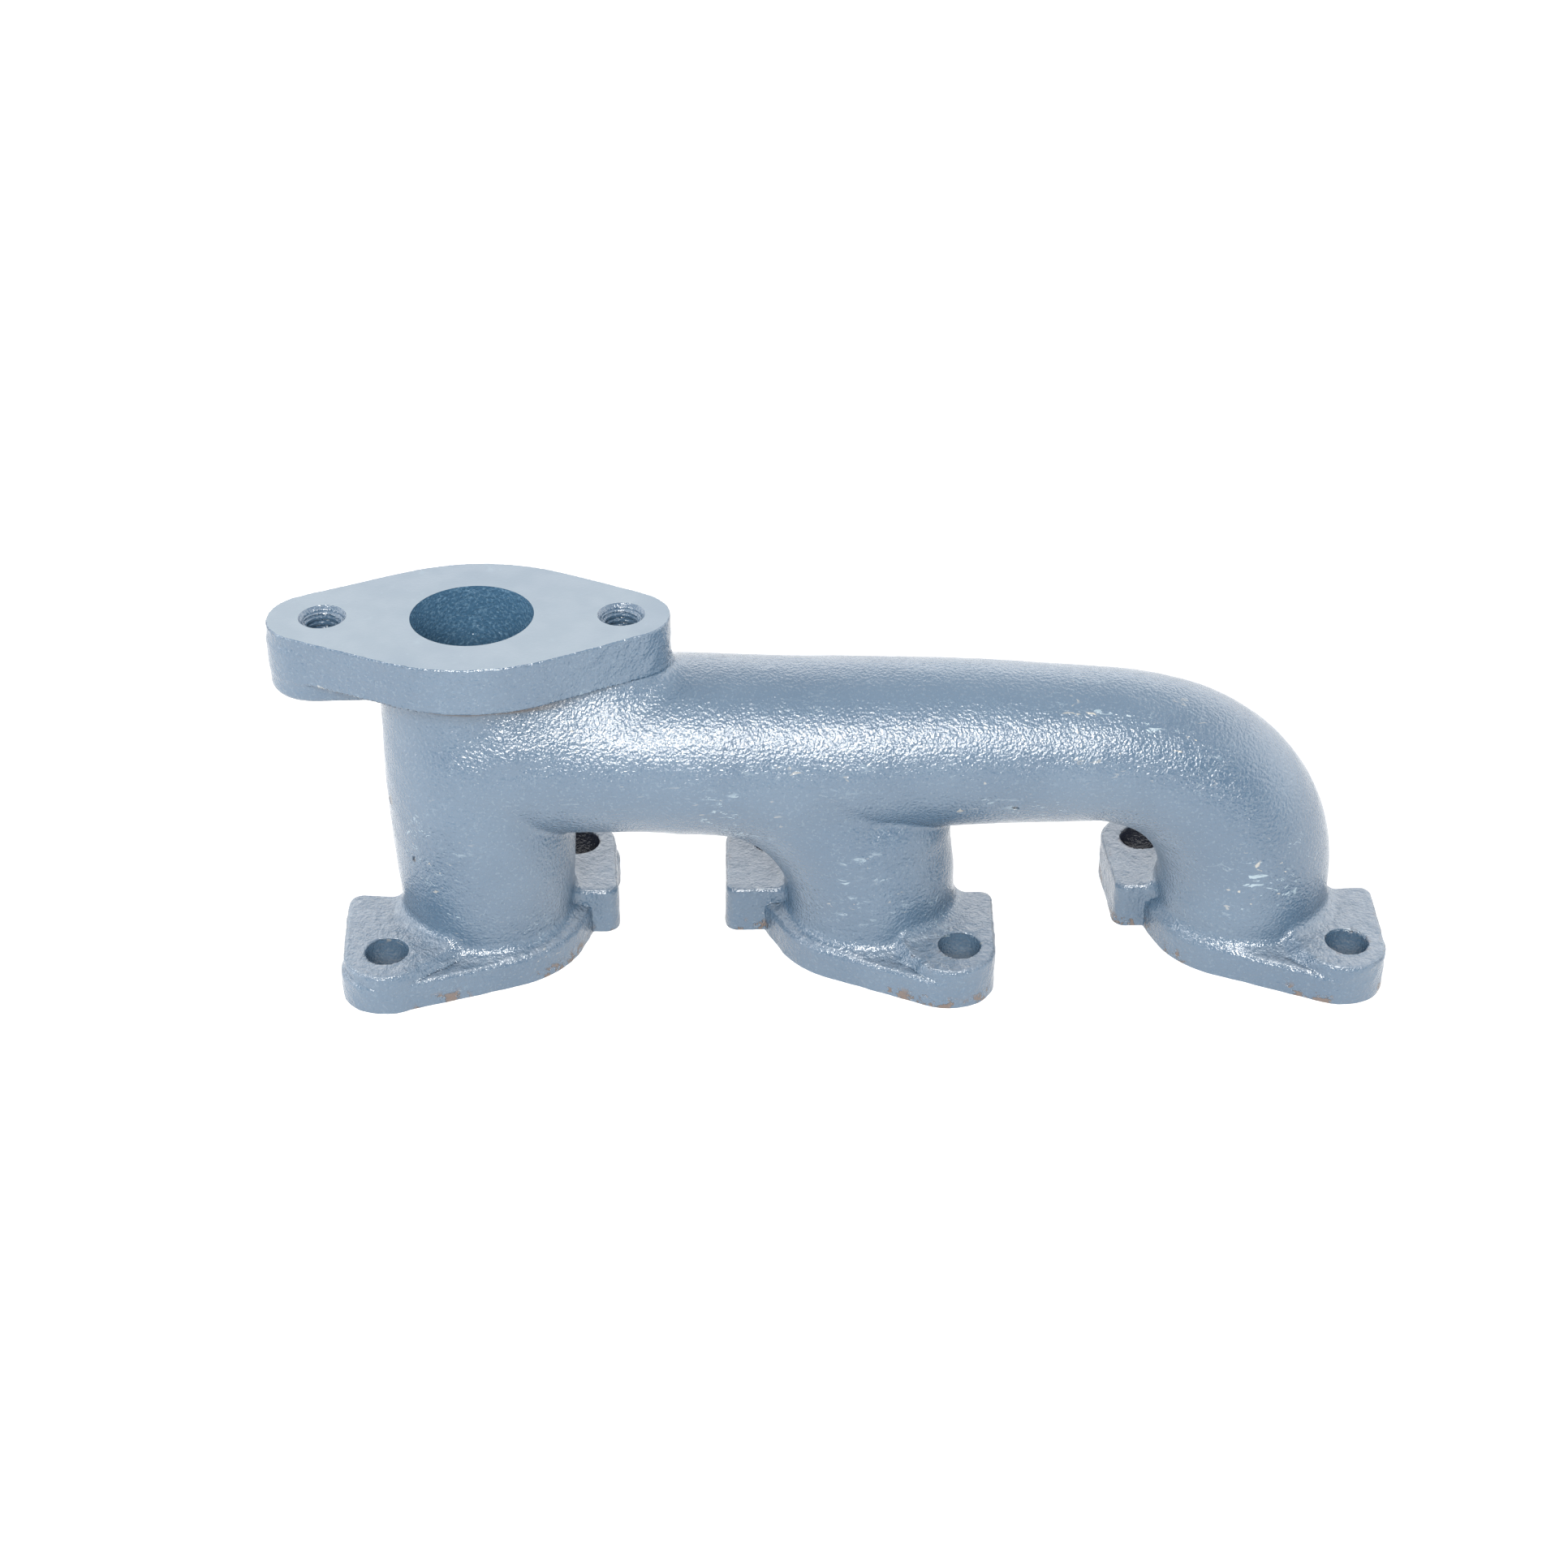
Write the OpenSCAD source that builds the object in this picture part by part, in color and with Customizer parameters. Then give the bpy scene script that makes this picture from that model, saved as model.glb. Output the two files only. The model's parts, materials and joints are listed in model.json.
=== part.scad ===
// Exhaust manifold of a small three-cylinder engine: one sand-cast iron part, painted blue-grey.
// Every module below is one region of the casting, and neighbouring regions meet face to face.
// Origin: centre of the middle port, on the face that seals against the cylinder head.
// +X runs along the log, away from the outlet. +Z points from the head face to the outlet face.

/* [Ports] */
// Distance from one port to the next
port_pitch = 85; // [82:0.5:90]
// Diameter of each port
port_d = 26; // [24:0.5:27]
// Radius of the round web round each port
web_r = 20.4; // [20:0.1:22]
// Thickness of that web
web_t = 7; // [6:0.5:8]

/* [Bolt lugs] */
// Distance of each bolt hole from its port's centre, both along and across the log
bolt_offset = 20; // [19.5:0.25:21]
// Diameter of the bolt holes
bolt_hole_d = 9; // [8:0.5:10]
// Thickness of the lugs
lug_t = 10.4; // [9.6:0.2:12]
// Radius of the round end of a lug
lug_nose_r = 9.7; // [9:0.1:10.5]
// Distance from the port's centre to a lug's outer edge, along the log
lug_edge_x = 29.3; // [29:0.1:30.5]
// Distance from the port's centre to the tip of a lug's round end, across the log
lug_reach_y = 30.1; // [29.5:0.1:31]
// Radius of the lug's outer corner, beside the port's centre line
lug_corner_r = 3; // [2:0.5:4]
// Distance from the port's centre to the step between web and lug
lug_step_x = 11; // [9:0.5:13]

/* [Log] */
// Height of the log's axis above the head face
log_z = 49.2; // [48:0.1:51]
// Outside radius of the log at the outlet end
log_front_r = 20; // [19.4:0.1:20.2]
// Outside radius of the log where the end elbow starts
log_rear_r = 17.4; // [17:0.1:18.4]
// Radius of the gas passage in the log and the elbows
log_bore_r = 12.5; // [11:0.25:12.5]
// Centre-line radius of the elbows that lead down to the middle and the end port
bend_r = 34.6; // [33:0.2:36]

/* [Branches] */
// Outside radius of the branches where they stand on their webs
branch_r = 18.7; // [18.4:0.1:19]
// Outside radius of the riser under the outlet
riser_r = 20.4; // [20:0.1:21]

/* [Outlet] */
// Height of the outlet face above the head face
outlet_z = 82; // [81:0.5:84]
// Distance that the outlet's centre is set inboard of the first port
outlet_shift = 1.5; // [0:0.25:2]
// Diameter of the outlet
outlet_d = 26; // [24:0.5:27]
// Thickness of the outlet flange
flange_t = 10.5; // [10:0.5:11]
// Distance between the two tapped holes
tap_spacing = 62.6; // [62:0.2:64]
// Drilled diameter of the tapped holes (M8 thread)
tap_d = 6.8; // [6.6:0.1:7]
// Depth of the inner tapped hole, which is blind. The outer one goes right through its boss
blind_tap_depth = 13; // [11:0.5:13]
// Radius of the flange's outer end, about its tapped hole
outer_tip_r = 11.4; // [10.4:0.1:11.6]
// Radius of the flange's inner end, about its tapped hole
inner_tip_r = 10.4; // [10:0.1:11]
// Half of the flange's width, across the outlet
flange_half_w = 23.3; // [22.5:0.1:24]
// Radius of the broad arcs beside the outlet
flange_arc_r = 38; // [36:1:44]
// Depth of the boss below the flange, under the outer tapped hole
boss_drop = 3.5; // [3:0.5:4]
// Distance that the bosses under the flange lie inside its outline
boss_inset = 0.5; // [0.2:0.1:1]

/* [Hidden] */

paint = [0.50, 0.60, 0.69];
machined_paint = [0.68, 0.74, 0.79];

port_r = port_d / 2;
port_1_x = -port_pitch;
port_3_x = port_pitch;
outlet_x = port_1_x + outlet_shift;
// The riser's axis lies midway between the first port and the outlet
riser_x = port_1_x + outlet_shift / 2;
outer_tap_x = outlet_x - tap_spacing / 2;
inner_tap_x = outlet_x + tap_spacing / 2;
flange_z = outlet_z - flange_t;
nose_x = lug_edge_x - lug_nose_r;
nose_y = lug_nose_r - lug_reach_y;

// Planes where the regions of the casting meet. The branches end just below the log
below_log = 0.2;
branch_top_z = log_z - log_front_r - below_log;
log_start_x = riser_x + 24;
middle_start_x = -bend_r;
middle_end_x = branch_r + 6;
elbow_start_x = port_3_x - bend_r;
elbow_end_z = log_z - bend_r;

// How far a cutter runs past the face that it opens
past = 1;
$fn = 96;

// Outside radius of the tapered log at any place along it
function log_r(x) =
  log_front_r + (log_rear_r - log_front_r) * (x - riser_x) / (elbow_start_x - riser_x);

// ---------- Shapes that repeat ----------

// Solid stretch of the log's outside, from one X to another
module log_solid(from_x, to_x) {
  translate([from_x, 0, log_z])
    rotate([0, 90, 0])
      cylinder(h = to_x - from_x, r1 = log_r(from_x), r2 = log_r(to_x));
}

// Gas passage along the log, from one X to another
module log_passage(from_x, to_x) {
  translate([from_x, 0, log_z])
    rotate([0, 90, 0])
      cylinder(h = to_x - from_x, r = log_bore_r);
}

// Quarter bend from the log down to the port at port_x
module quarter_bend(port_x, r) {
  translate([port_x - bend_r, 0, elbow_end_z])
    rotate([90, 0, 0])
      rotate_extrude(angle = 90)
        translate([bend_r, 0])
          circle(r = r);
}

// Upright cylinder between two heights
module upright(x, from_z, to_z, r) {
  translate([x, 0, from_z])
    cylinder(h = to_z - from_z, r = r);
}

// Everything above or below a height, in the neighbourhood of a port
module slab(x, from_z, to_z) {
  side = 2 * port_pitch;
  translate([x - side / 2, -side / 2, from_z])
    cube([side, side, to_z - from_z]);
}

// ---------- Port flanges and their lugs ----------

// Round end of the lug at +X, -Y
module lug_nose() {
  translate([nose_x, nose_y])
    circle(r = lug_nose_r);
}

// Outline of that lug, as it is before the branch is cut out of it
module lug_area() {
  // The front edge runs straight from the round web to the round end
  nose_bearing = atan2(-nose_y, nose_x);
  edge_slope = asin((web_r - lug_nose_r) / norm([nose_x, nose_y])) - nose_bearing;
  step_y = -web_r / cos(edge_slope) + lug_step_x * tan(edge_slope);
  hull() {
    lug_nose();
    translate([lug_edge_x - lug_corner_r, -lug_corner_r])
      circle(r = lug_corner_r, $fn = 32);
    polygon([[lug_step_x, 0], [lug_step_x, step_y], [lug_step_x + 1, 0]]);
  }
}

// Outline of the web on the side of the +X, -Y bolt hole
module web_area() {
  hull() {
    circle(r = web_r);
    lug_nose();
  }
}

// One lug with its bolt hole. turn is 0 at the front and 180 at the back
module lug(port_x, turn, mirrored) {
  translate([port_x, 0, 0])
    mirror([mirrored, 0, 0])
      rotate([0, 0, turn])
        difference() {
          linear_extrude(height = lug_t)
            lug_area();
          translate([0, 0, -past])
            cylinder(h = lug_t + 2 * past, r = branch_r);
          translate([bolt_offset, -bolt_offset, -past])
            cylinder(h = lug_t + 2 * past, d = bolt_hole_d);
        }
}

// The web between the lugs, with the port in it
module port_flange(port_x, mirrored) {
  translate([port_x, 0, 0])
    mirror([mirrored, 0, 0])
      difference() {
        union() {
          linear_extrude(height = web_t)
            difference() {
              union() {
                web_area();
                rotate(180) web_area();
              }
              lug_area();
              rotate(180) lug_area();
            }
          cylinder(h = web_t, r = branch_r);
        }
        translate([0, 0, -past])
          cylinder(h = web_t + 2 * past, r = port_r);
      }
}

// ---------- Sub-parts ----------

// Outline of the outlet flange, centred on the outlet
module outlet_outline() {
  arc_offset = flange_arc_r - flange_half_w;
  arc_half_l = flange_arc_r / 2;
  hull() {
    translate([-tap_spacing / 2, 0])
      circle(r = outer_tip_r);
    translate([tap_spacing / 2, 0])
      circle(r = inner_tip_r);
    intersection() {
      translate([0, arc_offset]) circle(r = flange_arc_r, $fn = 180);
      translate([0, -arc_offset]) circle(r = flange_arc_r, $fn = 180);
      square([2 * arc_half_l, 4 * flange_half_w], center = true);
    }
  }
}

// Boss under one tapped hole, with its web to the riser. side is -1 at the outer hole
module tap_boss(side, r, from_z) {
  boss_x = tap_spacing / 2;
  height = flange_z - from_z + past;
  translate([outlet_x, 0, from_z]) {
    translate([side * boss_x, 0, 0])
      cylinder(h = height, r = r);
    translate([(side - 1) * boss_x / 2, -r, 0])
      cube([boss_x, 2 * r, height]);
  }
}

module outlet_flange() {
  inner_boss_z = log_z + log_bore_r;
  color(machined_paint)
    difference() {
      union() {
        translate([outlet_x, 0, flange_z])
          linear_extrude(height = flange_t)
            outlet_outline();
        tap_boss(-1, outer_tip_r - boss_inset, flange_z - boss_drop);
        tap_boss(1, inner_tip_r - boss_inset, inner_boss_z);
      }
      // The riser and the log fill the space under the flange
      upright(riser_x, inner_boss_z - past, flange_z, riser_r);
      log_solid(riser_x, log_start_x + port_pitch / 2);
      upright(outlet_x, flange_z - past, outlet_z + past, outlet_d / 2);
      upright(outer_tap_x, flange_z - boss_drop - past, outlet_z + past, tap_d / 2);
      upright(inner_tap_x, outlet_z - blind_tap_depth, outlet_z + past, tap_d / 2);
    }
}

// Upper riser: the outlet flange stands on it and the log leads into its side
module riser_upper() {
  color(paint)
    difference() {
      union() {
        upright(riser_x, branch_top_z, flange_z, riser_r);
        log_solid(riser_x, log_start_x);
      }
      upright(riser_x, branch_top_z - past, flange_z + past, port_r);
      log_passage(riser_x, log_start_x + past);
    }
}

// Lower riser: from the first port's web to the underside of the log
module riser_lower() {
  color(paint)
    difference() {
      translate([riser_x, 0, web_t])
        cylinder(h = branch_top_z - web_t, r1 = branch_r, r2 = riser_r);
      upright(riser_x, web_t - past, branch_top_z + past, port_r);
    }
}

// Log between the riser and the middle junction
module log_front() {
  color(paint)
    difference() {
      log_solid(log_start_x, middle_start_x);
      log_passage(log_start_x - past, middle_start_x + past);
    }
}

// Outside of the middle junction: the log and the bend that joins it from below
module middle_solid() {
  log_solid(middle_start_x, middle_end_x);
  quarter_bend(0, log_rear_r);
}

module middle_passages() {
  log_passage(middle_start_x - past, middle_end_x + past);
  quarter_bend(0, log_bore_r);
}

// Log over the middle port
module log_middle() {
  color(paint)
    difference() {
      intersection() {
        middle_solid();
        slab(0, branch_top_z, outlet_z);
      }
      middle_passages();
    }
}

// Log between the middle junction and the end elbow
module log_rear() {
  color(paint)
    difference() {
      log_solid(middle_end_x, elbow_start_x);
      log_passage(middle_end_x - past, elbow_start_x + past);
    }
}

// Elbow that turns the log down to the last port's branch
module end_elbow() {
  color(paint)
    difference() {
      quarter_bend(port_3_x, log_rear_r);
      quarter_bend(port_3_x, log_bore_r);
    }
}

// Bend of the middle port's branch, below the log
module branch_2_bend() {
  color(paint)
    difference() {
      intersection() {
        quarter_bend(0, log_rear_r);
        slab(0, elbow_end_z, branch_top_z);
      }
      quarter_bend(0, log_bore_r);
    }
}

// Foot of a branch: the short upright stretch between its bend and its web
module branch_foot(port_x) {
  difference() {
    translate([port_x, 0, web_t])
      cylinder(h = elbow_end_z - web_t, r1 = branch_r, r2 = log_rear_r);
    upright(port_x, web_t - past, elbow_end_z + past, port_r);
  }
}

module branch_2_foot() { color(paint) branch_foot(0); }
module branch_3_foot() { color(paint) branch_foot(port_3_x); }

module port_flange_1() { color(paint) port_flange(port_1_x, 1); }
module port_flange_2() { color(paint) port_flange(0, 0); }
module port_flange_3() { color(paint) port_flange(port_3_x, 0); }

module lug_1_front() { color(paint) lug(port_1_x, 0, 1); }
module lug_1_back() { color(paint) lug(port_1_x, 180, 1); }
module lug_2_front() { color(paint) lug(0, 0, 0); }
module lug_2_back() { color(paint) lug(0, 180, 0); }
module lug_3_front() { color(paint) lug(port_3_x, 0, 0); }
module lug_3_back() { color(paint) lug(port_3_x, 180, 0); }

outlet_flange();
riser_upper();
riser_lower();
log_front();
log_middle();
log_rear();
end_elbow();
branch_2_bend();
branch_2_foot();
branch_3_foot();
port_flange_1();
port_flange_2();
port_flange_3();
lug_1_front();
lug_1_back();
lug_2_front();
lug_2_back();
lug_3_front();
lug_3_back();
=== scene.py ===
import json
import math
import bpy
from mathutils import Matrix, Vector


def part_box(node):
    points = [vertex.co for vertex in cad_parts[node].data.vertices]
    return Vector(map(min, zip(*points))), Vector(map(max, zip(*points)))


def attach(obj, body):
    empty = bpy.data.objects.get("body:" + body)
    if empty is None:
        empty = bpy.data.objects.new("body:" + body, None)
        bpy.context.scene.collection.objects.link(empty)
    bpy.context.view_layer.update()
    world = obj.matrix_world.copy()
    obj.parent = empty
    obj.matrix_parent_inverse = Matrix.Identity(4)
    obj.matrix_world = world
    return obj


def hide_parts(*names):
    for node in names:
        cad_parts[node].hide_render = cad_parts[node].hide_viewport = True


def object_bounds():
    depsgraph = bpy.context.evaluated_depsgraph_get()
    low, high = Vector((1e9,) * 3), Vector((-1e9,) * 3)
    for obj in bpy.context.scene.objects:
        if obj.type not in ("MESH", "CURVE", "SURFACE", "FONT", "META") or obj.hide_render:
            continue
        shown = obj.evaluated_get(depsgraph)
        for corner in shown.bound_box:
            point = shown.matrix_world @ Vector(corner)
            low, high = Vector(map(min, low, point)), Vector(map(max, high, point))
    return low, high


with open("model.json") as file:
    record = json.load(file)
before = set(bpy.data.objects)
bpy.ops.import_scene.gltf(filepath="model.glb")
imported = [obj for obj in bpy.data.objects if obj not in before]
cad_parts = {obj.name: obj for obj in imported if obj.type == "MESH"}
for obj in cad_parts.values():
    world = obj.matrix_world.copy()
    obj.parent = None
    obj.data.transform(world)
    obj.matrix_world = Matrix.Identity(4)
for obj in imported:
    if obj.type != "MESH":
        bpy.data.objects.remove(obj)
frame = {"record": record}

from concurrent.futures import ThreadPoolExecutor

import bmesh
import bpy
import numpy as np
from mathutils import Vector

CAD_LO, CAD_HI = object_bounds()
MM = 0.001

# ---------- Sizes in millimetres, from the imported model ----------

MOUNTS = {m["name"]: m for m in frame["record"]["mounts"]}


def mount_x(name):
    return MOUNTS[name]["pos_m"][0] / MM


def low(node, axis):
    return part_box(node)[0][axis] / MM


def high(node, axis):
    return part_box(node)[1][axis] / MM


def middle(node, axis):
    return (low(node, axis) + high(node, axis)) / 2


PORT_X = [mount_x(f"port_{n}") for n in (1, 2, 3)]
OUTLET_X = mount_x("outlet")
OUTER_TAP_X = mount_x("outlet_outer_tap")
INNER_TAP_X = mount_x("outlet_inner_tap")
BORE_R = MOUNTS["outlet"]["dims"]["r_mm"]
BOLT_R = MOUNTS["port_2_bolts"]["dims"]["hole_r_mm"]
BOLT_OFFSET = MOUNTS["port_2_bolts"]["dims"]["pcd_mm"] / 2 * math.sqrt(0.5)
TOP_Z = high("outlet_flange", 2)
WEB_T = high("port_flange_2", 2)
LUG_T = high("lug_2_front", 2)
LUG_EDGE = high("lug_2_front", 0)
LUG_REACH = -low("lug_2_front", 1)
RISER_X = middle("riser_lower", 0)
OUTER_TIP_R = OUTER_TAP_X - low("outlet_flange", 0)
INNER_TIP_R = high("outlet_flange", 0) - INNER_TAP_X
HALF_WIDTH = high("outlet_flange", 1)
LOG_Z = middle("log_rear", 2)
ELBOW_X = low("end_elbow", 0)
FLANGE_Z = high("riser_upper", 2)

# ---------- Shape of the casting, as a signed distance in millimetres ----------

# Radius of each port's web, how far its middle is moved towards its front lug, and its reach to the lugs
WEBS = [(21.6, -1.0, 0.8), (20.4, 0.0, -1.2), (19.9, 0.0, -0.7)]
NOSE_R = 9.7
CORNER_R = 3.0
FLANGE_ARC_R = 38.0
ELBOW_Z = 14.4
ELBOW_END_R = 19.0
FOOT_R = 18.6
BEND_2_R = 40.0
BRANCH_2_X = 1.1
BRANCH_2_R, BRANCH_2_START_R = 18.4, 18.1
PASSAGE_R = 12.5
THREAD_R = 4.0
SLEEVE_R = 4.2
CHAMFER_R = 5.05
# Each lug's edge and height against the design, as cast: front and back of ports 1 to 3
LUG_CORNER_OFF = [(1.1, 0.2), (-0.5, 2.0), (0.1, -1.0)]
LUG_NOSE_OFF = [(0.2, -1.2), (-1.5, 2.0), (-0.7, -0.2)]
LUG_BACK_OFF = [(1.5, 0.0), (1.1, 0.0), (1.2, 0.0)]
LUG_T_OFF = (-0.6, 0.5)
# Line where each pad steps down to its web: along at 22 mm across, slant, and width of the step
STEP = [[(6.2, 0.9, 4.6), (9.5, 0.1, 2.5)], [(7.8, 0.5, 1.9), (9.5, 0.2, 2.2)], [(7.6, 0.55, 2.8), (9.5, 0.1, 2.5)]]
LIP = [0.6, 1.4, 0.9]

DIRECTIONS = np.linspace(0, 2 * math.pi, 240, endpoint=False)
COS, SIN = np.cos(DIRECTIONS), np.sin(DIRECTIONS)


class Curve:
    """A line through a few points, rounded at its bends and read from a fine table."""

    def __init__(self, points, blur):
        xs, ys = np.array(points, float).T
        step = blur / 6
        table = np.arange(xs[0] - 6 * blur, xs[-1] + 6 * blur, step)
        start, end = (ys[1] - ys[0]) / (xs[1] - xs[0]), (ys[-1] - ys[-2]) / (xs[-1] - xs[-2])
        line = np.interp(table, xs, ys) + start * np.minimum(table - xs[0], 0)
        line += end * np.maximum(table - xs[-1], 0)
        kernel = np.exp(-0.5 * (np.arange(-18, 19) / 6) ** 2)
        self.values = np.convolve(line, kernel / kernel.sum(), "valid").astype(np.float32)
        self.at = table[18:-18].astype(np.float32)

    def __call__(self, x):
        return np.interp(x, self.at, self.values).astype(np.float32)


LOG_AXIS = Curve([(-84, 50.7), (-50, 50.5), (-30, 50.0), (-16, 49.6), (0, 49.7), (20, 49.85), (34, 49.67), (45, 49.4), (50.5, 49.2)], 4)
LOG_R = Curve([(-84, 19.9), (-50, 19.6), (-30, 19.4), (-16, 19.1), (0, 18.9), (20, 18.15), (34, 17.6), (45, 17.2), (50.5, 16.85)], 4)
# Bend radius and outside radius of the end elbow, against degrees turned
BEND_3 = Curve([(0, 34.8), (13, 34.1), (21, 34.2), (29, 34.6), (39, 34.8), (49, 35.0), (61, 34.85), (75, 34.7), (90, 34.6)], 5)
BEND_3_R = Curve([(0, 16.85), (13, 16.8), (21, 17.0), (29, 17.4), (39, 18.0), (49, 18.5), (61, 18.75), (75, 18.9), (90, 19.0)], 5)
RISER_R = Curve([(7, 18.5), (12, 18.8), (16, 19.3), (22, 19.8), (33, 20.15), (43.5, 20.2), (54, 20.0), (59, 19.9), (72, 19.8)], 2.5)
BRANCH_3_X = ELBOW_X + 34.6


class Plan:
    """Signed distance to a convex outline, kept on a fine grid and read between its points."""

    STEP = 0.2

    def __init__(self, circles, reach_x, reach_y):
        support = np.full(len(COS), -1e9)
        for cx, cy, r in circles:
            support = np.maximum(support, cx * COS + cy * SIN + r)
        self.lo = (-reach_x, -reach_y)
        xs = np.arange(-reach_x, reach_x + self.STEP, self.STEP)[:, None]
        ys = np.arange(-reach_y, reach_y + self.STEP, self.STEP)[None, :]
        grid = np.full((xs.size, ys.size), -1e9)
        for c, s, h in zip(COS, SIN, support):
            np.maximum(grid, xs * c + ys * s - h, out=grid)
        self.grid = grid.astype(np.float32)

    def __call__(self, x, y):
        nx, ny = self.grid.shape
        i = np.clip((x - self.lo[0]) / self.STEP, 0, nx - 1.001)
        j = np.clip((y - self.lo[1]) / self.STEP, 0, ny - 1.001)
        i0, j0 = i.astype(np.int32), j.astype(np.int32)
        fi, fj = i - i0, j - j0
        g = self.grid.ravel()
        k = i0 * ny + j0
        a = g[k] * (1 - fj) + g[k + 1] * fj
        b = g[k + ny] * (1 - fj) + g[k + ny + 1] * fj
        return a * (1 - fi) + b * fi


def arc_points(cx, cy, r, half_chord):
    """Points of an arc as circles of no radius, at the very directions that Plan looks in."""
    keep = np.abs(r * COS) <= half_chord
    upper = SIN > 0 if cy < 0 else SIN < 0
    return [(cx + r * c, cy + r * s, 0) for c, s in zip(COS[keep & upper], SIN[keep & upper])]


arc_y = FLANGE_ARC_R - HALF_WIDTH
OUTLET_PLAN = Plan(
    [(OUTER_TAP_X - OUTLET_X - 1.6, 0, OUTER_TIP_R - 1.2), (INNER_TAP_X - OUTLET_X, 0, INNER_TIP_R)]
    + arc_points(0, -arc_y, FLANGE_ARC_R, FLANGE_ARC_R / 2)
    + arc_points(0, arc_y, FLANGE_ARC_R, FLANGE_ARC_R / 2),
    56,
    36,
)


GUSSET_PLAN = Plan([(RISER_X - OUTLET_X, 0, 16.6), (INNER_TAP_X - OUTLET_X, 0, INNER_TIP_R - 0.3)], 56, 36)


def lug_plans(port, side):
    web_r, shift, reach = WEBS[port]
    nose_x = LUG_EDGE - NOSE_R + LUG_NOSE_OFF[port][side]
    nose_y = NOSE_R - LUG_REACH + 0.15
    web = Plan([(-shift if side else shift, 0, web_r), (nose_x + reach, nose_y, NOSE_R)], 42, 42)
    corner_x = LUG_EDGE - CORNER_R + LUG_CORNER_OFF[port][side]
    corner = (corner_x, LUG_BACK_OFF[port][side] - CORNER_R, CORNER_R)
    lug = Plan([(nose_x, nose_y, NOSE_R), corner, (5, -6, 5), (5, -15, 5)], 42, 42)
    return web, lug


PLANS = [[lug_plans(port, side) for side in (0, 1)] for port in range(3)]

rng = np.random.default_rng(11)


def waves(count, short, long, amplitude):
    """Directions, phases and sizes of a few plane waves that together look random."""
    way = rng.normal(size=(count, 3))
    way /= np.linalg.norm(way, axis=1)[:, None]
    length = rng.uniform(short, long, count)
    return way * (2 * math.pi / length)[:, None], rng.uniform(0, 6.28, count), amplitude


SWELL = waves(7, 22, 55, 0.06)
RIPPLE = waves(14, 4.5, 9.0, 0.007)
CHIPS = waves(9, 1.6, 4.5, 0.018)


def ripple(p, kind):
    way, phase, amplitude = kind
    total = np.zeros(len(p), np.float32)
    for w, f in zip(way.astype(np.float32), phase):
        total += np.sin(p @ w + np.float32(f))
    return total * amplitude


def smooth_min(a, b, k):
    h = np.clip(0.5 + 0.5 * (b - a) / k, 0, 1)
    return b + (a - b) * h - k * h * (1 - h)


def round_min(a, b, r):
    return np.maximum(r, np.minimum(a, b)) - np.hypot(np.maximum(r - a, 0), np.maximum(r - b, 0))


def round_max(a, b, r):
    return np.minimum(-r, np.maximum(a, b)) + np.hypot(np.maximum(a + r, 0), np.maximum(b + r, 0))


def smooth_step(t):
    t = np.clip(t, 0, 1)
    return t * t * (3 - 2 * t)


LOG_START_X = RISER_X + 2


def main_run(x, y, z):
    """Distance from the axis of log, end elbow and branch 3, and the outside radius there."""
    along = np.minimum(x - LOG_START_X, 0)
    log = np.sqrt(along * along + y * y + (z - LOG_AXIS(x)) ** 2)
    turn = 90 - np.degrees(np.arctan2(z - ELBOW_Z, x - ELBOW_X))
    bend = np.hypot(np.hypot(x - ELBOW_X, z - ELBOW_Z) - BEND_3(turn), y)
    foot = np.hypot(x - BRANCH_3_X, y)
    foot_r = FOOT_R + (ELBOW_END_R - FOOT_R) * smooth_step((z - 7) / (ELBOW_Z - 7))
    in_log, in_bend = x < ELBOW_X, z > ELBOW_Z
    axis = np.where(in_log, log, np.where(in_bend, bend, foot))
    radius = np.where(in_log, LOG_R(x), np.where(in_bend, BEND_3_R(turn), foot_r))
    return axis, radius


def branch_2(x, y, z):
    """The same for the bend that leaves the log for the middle port."""
    cx = BRANCH_2_X - BEND_2_R
    cz = 49.7 - BEND_2_R
    start = np.sqrt(np.minimum(x - cx, 0) ** 2 + y * y + (z - cz - BEND_2_R) ** 2)
    bend = np.hypot(np.hypot(x - cx, z - cz) - BEND_2_R, y)
    foot = np.hypot(x - BRANCH_2_X, y)
    turn = np.clip(np.arctan2(z - cz, x - cx) / (math.pi / 2), 0, 1)
    before, in_bend = x < cx, z > cz
    axis = np.where(before, start, np.where(in_bend, bend, foot))
    bend_r = BRANCH_2_R + (BRANCH_2_START_R - BRANCH_2_R) * turn
    foot_r = BRANCH_2_R + 0.2 * np.clip(1 - z / cz, 0, 1)
    radius = np.where(before, BRANCH_2_START_R, np.where(in_bend, bend_r, foot_r))
    return axis, radius


def stub_2(x, y, z):
    """Upright outer wall of branch 2, rounded off inside the log."""
    wall = np.hypot(x - 1.7, y)
    return np.hypot(wall, np.maximum(z - 30, 0)) - 18.3 + 1.2 * smooth_step((z - 17) / 12)


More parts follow.
